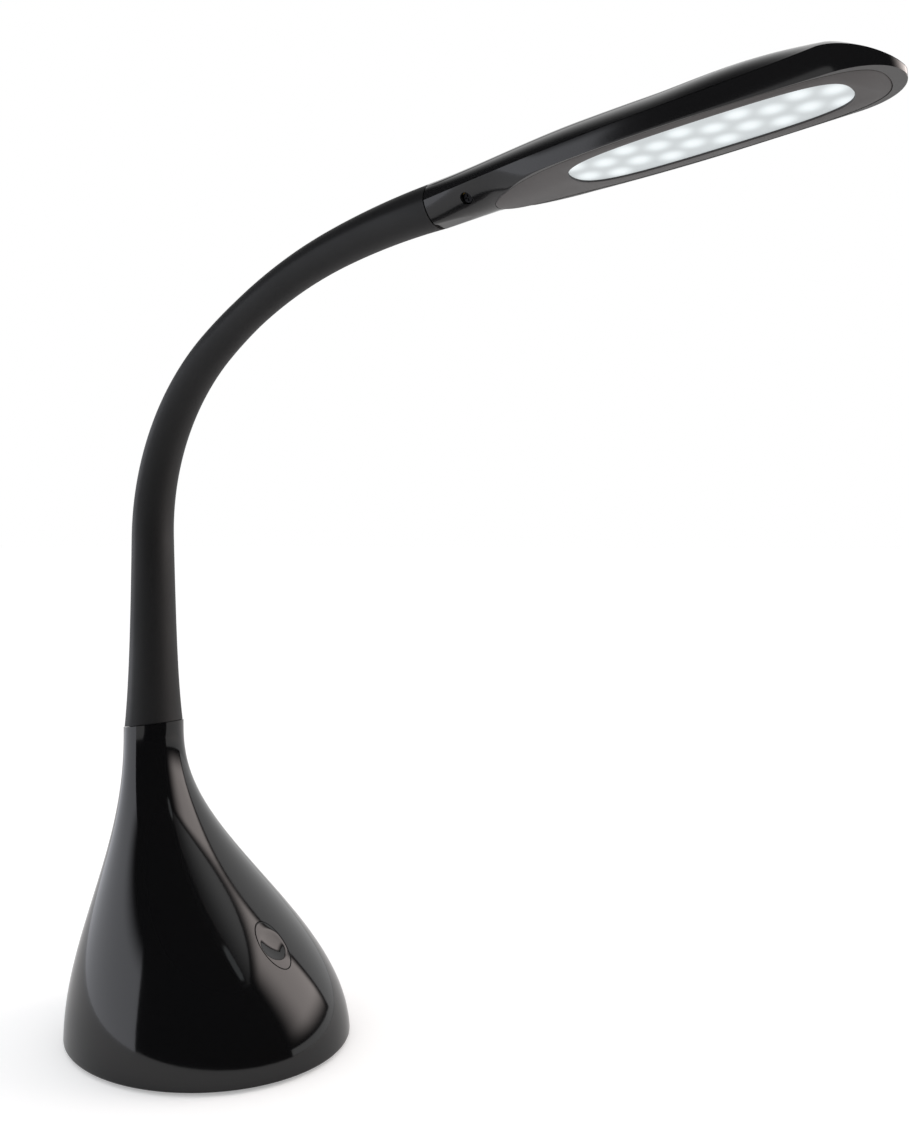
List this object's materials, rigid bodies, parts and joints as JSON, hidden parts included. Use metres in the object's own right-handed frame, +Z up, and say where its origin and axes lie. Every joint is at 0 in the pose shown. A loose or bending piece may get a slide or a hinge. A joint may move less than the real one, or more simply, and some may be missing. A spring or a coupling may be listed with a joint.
{
  "type": "gooseneck desk lamp",
  "caption": "Desk lamp with a weighted bell base, a push button on its slope, a rubber-sleeved gooseneck and a flat paddle head with an LED panel on its underside.",
  "frame": {"origin": "on the surface the lamp stands on, under the middle of the oval base", "axes": "+X towards the front, where the button and the head point; +Z up; the lamp is symmetric about the plane y = 0"},
  "size_m": [0.3964, 0.13, 0.4079],
  "materials": {
    "alloy_sheet": "mill-finish sheet",
    "board_green": "green solder mask",
    "board_white": "white solder mask",
    "brass": "turned brass",
    "foot_rubber": "matte black rubber",
    "frosted_lens": "frosted white polycarbonate",
    "gloss_black": "high gloss black ABS",
    "grey_satin": "satin grey",
    "iron": "as cast, painted dark grey",
    "led_white": "phosphor-coated LED package",
    "link_alloy": "turned, as machined",
    "matte_black": "fine-textured black ABS",
    "sleeve_rubber": "matte black silicone rubber",
    "steel": "zinc plated",
    "white_gloss": "gloss white",
    "wire_black": "black insulated wire"
  },
  "bodies": {
    "base": {"base_shell": "gloss_black", "base_plate": "matte_black", "rubber_feet": "foot_rubber", "base_screws": "steel", "ballast_weight": "iron", "ballast_screws": "steel", "inlet_body": "matte_black", "inlet_pin": "brass", "control_board": "board_green", "board_screws": "steel", "switch_body": "matte_black", "root_washer": "steel", "root_nut": "steel", "power_lead": "wire_black", "neck_lead_0": "wire_black", "neck_link_0": "link_alloy", "neck_sleeve_0": "sleeve_rubber"},
    "button": {"push_button": "gloss_black", "switch_plunger": "white_gloss"},
    "neck_1": {"neck_link_1": "link_alloy", "neck_sleeve_1": "sleeve_rubber", "neck_lead_1": "wire_black"},
    "neck_2": {"neck_link_2": "link_alloy", "neck_sleeve_2": "sleeve_rubber", "neck_lead_2": "wire_black"},
    "neck_3": {"neck_link_3": "link_alloy", "neck_sleeve_3": "sleeve_rubber", "neck_lead_3": "wire_black"},
    "neck_4": {"neck_link_4": "link_alloy", "neck_sleeve_4": "sleeve_rubber", "neck_lead_4": "wire_black"},
    "neck_5": {"neck_link_5": "link_alloy", "neck_sleeve_5": "sleeve_rubber", "neck_lead_5": "wire_black"},
    "neck_6": {"neck_link_6": "link_alloy", "neck_sleeve_6": "sleeve_rubber", "neck_lead_6": "wire_black"},
    "head": {"neck_link_7": "link_alloy", "neck_sleeve_7": "sleeve_rubber", "neck_lead_7": "wire_black", "head_top_cover": "gloss_black", "lower_housing": "gloss_black", "shell_screws": "steel", "bezel_plate": "grey_satin", "diffuser_lens": "frosted_lens", "reflector": "white_gloss", "light_board": "board_white", "leds": "led_white", "heat_spreader": "alloy_sheet", "light_board_screws": "steel", "neck_clamp": "brass", "clamp_screws": "steel"}
  },
  "joints": [
    {"name": "neck_bend_1", "type": "hinge", "parent": "base", "child": "neck_1", "pos_m": [-0.038, 0, 0.169], "axis": [0, 1, 0], "range_deg": [-25, 20]},
    {"name": "neck_sway_2", "type": "hinge", "parent": "neck_1", "child": "neck_2", "pos_m": [-0.038, 0, 0.21898], "axis": [-1, 0, 0], "range_deg": [-15, 15]},
    {"name": "neck_bend_3", "type": "hinge", "parent": "neck_2", "child": "neck_3", "pos_m": [-0.03508, 0, 0.26874], "axis": [0, 1, 0], "range_deg": [-25, 20]},
    {"name": "neck_sway_4", "type": "hinge", "parent": "neck_3", "child": "neck_4", "pos_m": [-0.01382, 0, 0.31354], "axis": [-0.7898, 0, 0.6134], "range_deg": [-15, 15]},
    {"name": "neck_bend_5", "type": "hinge", "parent": "neck_4", "child": "neck_5", "pos_m": [0.0239, 0, 0.3459], "axis": [0, 1, 0], "range_deg": [-25, 20]},
    {"name": "neck_sway_6", "type": "hinge", "parent": "neck_5", "child": "neck_6", "pos_m": [0.06895, 0, 0.36729], "axis": [-0.3238, 0, 0.9461], "range_deg": [-15, 15]},
    {"name": "neck_bend_7", "type": "hinge", "parent": "neck_6", "child": "head", "pos_m": [0.11749, 0, 0.37896], "axis": [0, 1, 0], "range_deg": [-25, 20]},
    {"name": "button_press", "type": "slide", "parent": "base", "child": "button", "axis": [-0.7093, 0, -0.7049], "range_m": [0, 0.0008], "stiffness_N_per_m": 1500, "springref_m": -0.0006}
  ]
}
